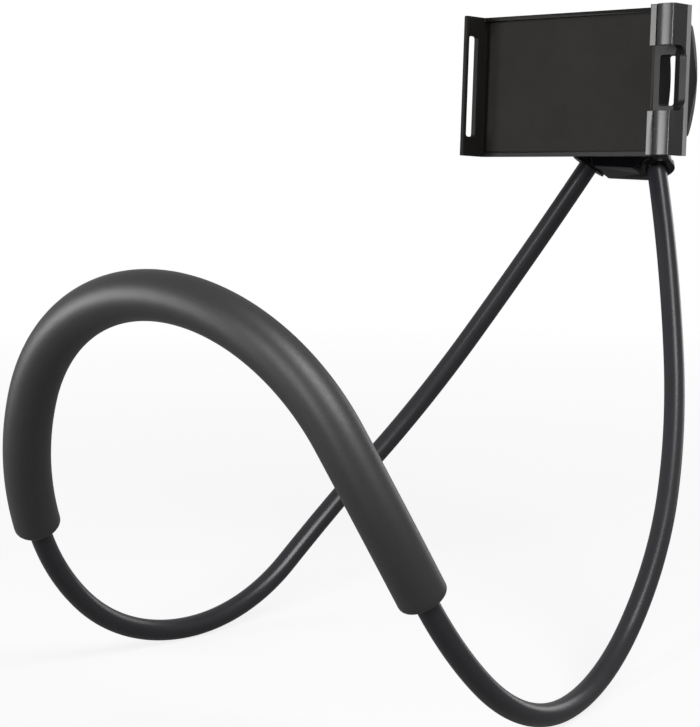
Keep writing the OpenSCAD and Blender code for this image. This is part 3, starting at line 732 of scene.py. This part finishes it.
def dressed(node, name, material):
    mesh = nodes[node].data.copy()
    made = bpy.data.objects.new(name, mesh)
    scene.collection.objects.link(made)
    built = bmesh.new()
    built.from_mesh(mesh)
    bmesh.ops.remove_doubles(built, verts=built.verts, dist=MERGE)
    bmesh.ops.dissolve_degenerate(built, edges=built.edges, dist=MERGE)
    built.to_mesh(mesh)
    built.free()
    mesh.shade_smooth()
    mesh.set_sharp_from_angle(angle=SHARP)
    mesh.materials.clear()
    mesh.materials.append(material)
    even = made.modifiers.new("even", "WEIGHTED_NORMAL")
    even.keep_sharp = True
    even.weight = 100
    bpy.context.view_layer.update()
    made.data = bpy.data.meshes.new_from_object(made.evaluated_get(bpy.context.evaluated_depsgraph_get()))
    made.modifiers.clear()
    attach(made, nodes[node]["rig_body"])
    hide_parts(node)
    print(name, len(made.data.polygons), "faces")
    return made


dressed("tray", "tray_moulding", tray_plastic)
dressed("tray_pad", "recess_pad", pad_rubber)
dressed("rear_cover", "housing_cover", cover_plastic)
sliding_jaw = dressed("moving_jaw", "sliding_jaw", jaw_plastic)
dressed("upper_lip", "jaw_lip_upper", lip_plastic)
dressed("lower_lip", "jaw_lip_lower", lip_plastic)
dressed("yoke_front", "yoke_half_front", yoke_plastic)
dressed("yoke_rear", "yoke_half_rear", yoke_plastic)
dressed("ball_arm", "ball_and_elbow", joint_plastic)
dressed("ball_socket", "slit_socket", joint_plastic)
dressed("lock_ring", "fluted_ring", ring_plastic)
dressed("ball_liner", "nylon_liner", liner_nylon)

# %% [markdown]
# Screws and springs sit in the frames of the yoke and the clamp. Both frames come from the same angles
# and lengths as the solids, so that a place is written as a designer reads it: along, deep and up.

# %% Frames of the yoke and the clamp
def turned_frame(at, *turns):
    """A frame from its place and its turns in degrees, each (angle, axis)"""
    frame_now = Matrix.Translation(at)
    for angle, axis in turns:
        frame_now = frame_now @ Matrix.Rotation(math.radians(angle), 4, axis)
    return frame_now


yoke_lean = math.degrees(math.atan2(mouth_way.y, mouth_way.z))
YOKE = {"thickness": 18, "top": 29, "ball_out": 34.5, "neck_bend": 12}
CLAMP = {"lean": 5, "turn": 2.5, "swivel": 8.5, "ball_depth": 38}
lean, step = math.radians(yoke_lean), math.radians(yoke_lean - CLAMP["lean"])
neck_run = (YOKE["ball_out"] - YOKE["neck_bend"] * (1 + math.sin(step))) / math.cos(step)
ball_up = YOKE["top"] + YOKE["neck_bend"] * math.cos(step) - neck_run * math.sin(step)
ball_at = Vector((0, mouth.y + (ball_up * math.sin(lean) - YOKE["ball_out"] * math.cos(lean)) * MM,
                  mouth.z + (ball_up * math.cos(lean) + YOKE["ball_out"] * math.sin(lean)) * MM))
yoke_frame = turned_frame((0, mouth.y, mouth.z), (-yoke_lean, "X"))
clamp_frame = turned_frame(ball_at, (-CLAMP["swivel"], "Z"), (-CLAMP["lean"], "X"), (-CLAMP["turn"], "Y"))


def in_yoke(x, y, z):
    return yoke_frame @ (Vector((x, y, z)) * MM)


def in_clamp(x, depth, z):
    return clamp_frame @ (Vector((x, depth - CLAMP["ball_depth"], z)) * MM)


print("ball's centre", [round(c, 5) for c in ball_at])

# %% [markdown]
# The outside of the jaw's side wall is painted paler than its block: its pale grey is a painted highlight,
# standing in for the light that this side catches. It is the same moulding, so its faces are found by their
# place in the clamp and the way that they look, and given a second material.

# %% Paler side of the sliding jaw
SIDE_WALL = {"beyond": 69.4, "front": 5.6, "back": 15.1, "outward": 0.3}
# The second material paints the highlight on the outer faces of the side wall
sliding_jaw.data.materials.append(jaw_side_painted_highlight)
to_clamp = clamp_frame.inverted()
pale_faces = 0
for face in sliding_jaw.data.polygons:
    spot = (to_clamp @ face.center) / MM
    looks = (to_clamp.to_3x3() @ face.normal).normalized()
    in_depth = SIDE_WALL["front"] < spot.y + CLAMP["ball_depth"] < SIDE_WALL["back"]
    if in_depth and spot.x > SIDE_WALL["beyond"] and looks.x > SIDE_WALL["outward"]:
        face.material_index = 1
        pale_faces += 1
print("paler side of the sliding jaw", pale_faces, "faces")

# %% [markdown]
# The pan-head screws are all one screw, lathed once and set down at every hole by Geometry Nodes. The
# tree cuts the cross recess with a boolean, gives each screw its own turn from a fixed seed, and makes
# the copies real.

# %% Screws
def screw_tree():
    tree, start, end = new_tree("Screws at points", [
        ("Screw", "NodeSocketObject", None), ("Outwards", "NodeSocketVector", (0, 0, 0)),
        ("Recess Width", "NodeSocketFloat", 0.0007), ("Recess Length", "NodeSocketFloat", 0.003),
        ("Recess Depth", "NodeSocketFloat", 0.002), ("Recess Place", "NodeSocketFloat", 0.001),
        ("Seed", "NodeSocketInt", 7), ("Material", "NodeSocketMaterial", None)])
    info = add(tree, "GeometryNodeObjectInfo", (-4, 2))
    cut = add(tree, "GeometryNodeMeshBoolean", (0, 2), operation="DIFFERENCE", solver="EXACT")
    join(tree, start.outputs["Screw"], info.inputs["Object"])
    join(tree, info.outputs["Geometry"], cut.inputs[0])
    spot = add(tree, "ShaderNodeCombineXYZ", (-3, -1))
    join(tree, start.outputs["Recess Place"], spot.inputs["X"])
    for row, axes in ((0, ("Recess Width", "Recess Length")), (-1, ("Recess Length", "Recess Width"))):
        size = add(tree, "ShaderNodeCombineXYZ", (-3, row + 1))
        bar = add(tree, "GeometryNodeMeshCube", (-2, row + 1))
        shift = add(tree, "GeometryNodeTransform", (-1, row + 1))
        join(tree, start.outputs["Recess Depth"], size.inputs["X"])
        join(tree, start.outputs[axes[0]], size.inputs["Y"])
        join(tree, start.outputs[axes[1]], size.inputs["Z"])
        join(tree, size.outputs[0], bar.inputs["Size"])
        join(tree, bar.outputs["Mesh"], shift.inputs["Geometry"])
        join(tree, spot.outputs[0], shift.inputs["Translation"])
        join(tree, shift.outputs[0], cut.inputs[1])
    chance = add(tree, "FunctionNodeRandomValue", (0, -2), data_type="FLOAT")
    chance.inputs["Max"].default_value = 1.57
    own_turn = add(tree, "ShaderNodeCombineXYZ", (1, -2))
    placed = add(tree, "GeometryNodeInstanceOnPoints", (2, 0))
    spun = add(tree, "GeometryNodeRotateInstances", (4, 0))
    flat = add(tree, "GeometryNodeSetShadeSmooth", (5, 0))
    flat.inputs["Shade Smooth"].default_value = False
    join(tree, start.outputs["Seed"], chance.inputs["Seed"])
    join(tree, chance.outputs[1], own_turn.inputs["X"])
    join(tree, start.outputs["Geometry"], placed.inputs["Points"])
    join(tree, cut.outputs[0], placed.inputs["Instance"])
    join(tree, start.outputs["Outwards"], placed.inputs["Rotation"])
    join(tree, placed.outputs[0], spun.inputs["Instances"])
    join(tree, own_turn.outputs[0], spun.inputs["Rotation"])
    join(tree, spun.outputs[0], flat.inputs[0])
    finish_tree(tree, start, end, flat.outputs[0])
    return tree


def screw_stock(name, shank, length, head, height):
    """A pan-head screw along X, with its head's underside at the origin and a coarse thread"""
    rows = [(-length, 0.0001 * MM), (-length, shank * 0.55), (-length + 0.6 * MM, shank * 0.82)]
    pitch = 0.9 * MM
    for k in range(int((length - 1.4 * MM) / pitch)):
        x = -length + 0.6 * MM + pitch * k
        rows += [(x + pitch * 0.35, shank), (x + pitch * 0.55, shank), (x + pitch * 0.95, shank * 0.82)]
    rows += [(-0.4 * MM, shank), (0, shank), (0, head)]
    rows += [(height * (0.45 + 0.55 * math.sin(a)), head * (0.55 + 0.45 * math.cos(a)))
             for a in (0, 0.35, 0.7, 1.05, 1.4, math.pi / 2)]
    rows += [(height, 0.0001 * MM)]
    return turned(name, rows, 24)


def set_screws(name, node, places, outwards, screw, height):
    points = bpy.data.meshes.new(name)
    points.from_pydata(places, [], [])
    made = bpy.data.objects.new(name, points)
    scene.collection.objects.link(made)
    turn = Vector((1, 0, 0)).rotation_difference(outwards).to_euler()
    grown(made, screws_at, Screw=screw, Outwards=tuple(turn), Material=screw_steel, Seed=7,
          Recess_Width=RECESS["width"], Recess_Length=RECESS["length"], Recess_Depth=height,
          Recess_Place=height)
    made.data.set_sharp_from_angle(angle=math.radians(30))
    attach(made, nodes[node]["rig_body"])
    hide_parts(node)
    bpy.data.objects.remove(screw)


screws_at = screw_tree()
RECESS = {"width": 0.65 * MM, "length": 2.9 * MM}
SHANK, HEAD = 1.3 * MM, 2.6 * MM
TALL_HEAD, FLAT_HEAD = 1.8 * MM, 1 * MM
YOKE_SCREWS = {"aside": 6.5, "seat": YOKE["thickness"] / 2 - 2.2, "up": 1.5, "length": 12 * MM}
COVER_SCREWS = {"along": (-63, 46.5), "seat": 22.6, "up": (-28.75, 28.75), "length": 4 * MM}
set_screws("yoke_pan_screws", "yoke_screws",
           [in_yoke(side * YOKE_SCREWS["aside"], YOKE_SCREWS["seat"], YOKE_SCREWS["up"]) for side in (-1, 1)],
           yoke_frame.to_3x3() @ Vector((0, 1, 0)),
           screw_stock("long screw", SHANK, YOKE_SCREWS["length"], HEAD, TALL_HEAD), TALL_HEAD)
set_screws("cover_pan_screws", "cover_screws",
           [in_clamp(x, COVER_SCREWS["seat"], z) for x in COVER_SCREWS["along"] for z in COVER_SCREWS["up"]],
           clamp_frame.to_3x3() @ Vector((0, 1, 0)),
           screw_stock("short screw", SHANK, COVER_SCREWS["length"], HEAD, FLAT_HEAD), FLAT_HEAD)

# %% [markdown]
# A tension spring is a spiral of wire with a hook at each end.

# %% Springs
def spring_tree():
    tree, start, end = new_tree("Tension spring", [
        ("Turns", "NodeSocketFloat", 60.0), ("Length", "NodeSocketFloat", 0.04),
        ("Radius", "NodeSocketFloat", 0.0015), ("Wire", "NodeSocketFloat", 0.0003),
        ("Material", "NodeSocketMaterial", None)])
    coil = add(tree, "GeometryNodeCurveSpiral", (-2, 3))
    coil.inputs["Resolution"].default_value = 18
    for title, source in (("Rotations", "Turns"), ("Start Radius", "Radius"), ("End Radius", "Radius"),
                          ("Height", "Length")):
        join(tree, start.outputs[source], coil.inputs[title])
    ring = add(tree, "GeometryNodeCurvePrimitiveCircle", (-4, 1))
    ring.inputs["Resolution"].default_value = 28
    join(tree, start.outputs["Radius"], ring.inputs["Radius"])
    reach = add(tree, "ShaderNodeMath", (-4, -1), operation="MULTIPLY_ADD")
    reach.inputs[1].default_value = 2.0
    join(tree, start.outputs["Wire"], reach.inputs[0])
    join(tree, start.outputs["Radius"], reach.inputs[2])
    whole = add(tree, "GeometryNodeJoinGeometry", (2, 1))
    join(tree, coil.outputs[0], whole.inputs[0])
    below = add(tree, "ShaderNodeMath", (-3, -1), operation="MULTIPLY")
    below.inputs[1].default_value = -1.0
    above = add(tree, "ShaderNodeMath", (-3, -2), operation="ADD")
    join(tree, reach.outputs[0], below.inputs[0])
    join(tree, reach.outputs[0], above.inputs[0])
    join(tree, start.outputs["Length"], above.inputs[1])
    for row, height, base in ((0, below, None), (-2, above, start.outputs["Length"])):
        middle = add(tree, "ShaderNodeCombineXYZ", (-2, row))
        stood = add(tree, "GeometryNodeTransform", (-1, row))
        stood.inputs["Rotation"].default_value = (math.pi / 2, 0, 0)
        join(tree, height.outputs[0], middle.inputs["Z"])
        join(tree, ring.outputs[0], stood.inputs["Geometry"])
        join(tree, middle.outputs[0], stood.inputs["Translation"])
        join(tree, stood.outputs[0], whole.inputs[0])
        run = add(tree, "GeometryNodeCurvePrimitiveLine", (0, row))
        for title, z in (("Start", height.outputs[0]), ("End", base)):
            tip = add(tree, "ShaderNodeCombineXYZ", (-1, row - 1))
            join(tree, start.outputs["Radius"], tip.inputs["X"])
            if z is not None:
                join(tree, z, tip.inputs["Z"])
            join(tree, tip.outputs[0], run.inputs[title])
        join(tree, run.outputs[0], whole.inputs[0])
    wire = add(tree, "GeometryNodeCurvePrimitiveCircle", (2, -1))
    wire.inputs["Resolution"].default_value = 8
    join(tree, start.outputs["Wire"], wire.inputs["Radius"])
    drawn = add(tree, "GeometryNodeCurveToMesh", (4, 0))
    drawn.inputs["Fill Caps"].default_value = True
    join(tree, whole.outputs[0], drawn.inputs["Curve"])
    join(tree, wire.outputs[0], drawn.inputs["Profile Curve"])
    smooth = add(tree, "GeometryNodeSetShadeSmooth", (5, 0))
    join(tree, drawn.outputs[0], smooth.inputs[0])
    finish_tree(tree, start, end, smooth.outputs[0])
    return tree


SPRING = {"post": -63.5, "tail": -15, "hook": 2.1, "depth": 20.2, "up": 15, "turns": 67.0,
          "radius": 1.5, "wire": 0.3}
coil_spring = spring_tree()
low, high = SPRING["post"] + SPRING["hook"], SPRING["tail"] - SPRING["hook"]
along, deep, upright = clamp_frame.to_3x3().col
for node, up in (("upper_spring", SPRING["up"]), ("lower_spring", -SPRING["up"])):
    made = bpy.data.objects.new(node.replace("spring", "return_spring"), bpy.data.meshes.new(node))
    scene.collection.objects.link(made)
    grown(made, coil_spring, Turns=SPRING["turns"], Length=(high - low) * MM, Radius=SPRING["radius"] * MM,
          Wire=SPRING["wire"] * MM, Material=spring_steel)
    made.data.transform(place((upright, -deep, along), in_clamp(low, SPRING["depth"], up)))
    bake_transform(made)
    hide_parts(node)

# %% [markdown]
# What is left are set screws, the socket's screw and washer, and the core. Their solids are already
# right, so they only get a finish.

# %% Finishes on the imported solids
def paint(node, material):
    slots = nodes[node].material_slots
    if not slots:
        nodes[node].data.materials.append(material)
    for slot in slots:
        slot.material = material


for node in ("grub_screws", "socket_screw", "socket_washer"):
    paint(node, screw_steel)
paint("arm_core", core_aluminium)
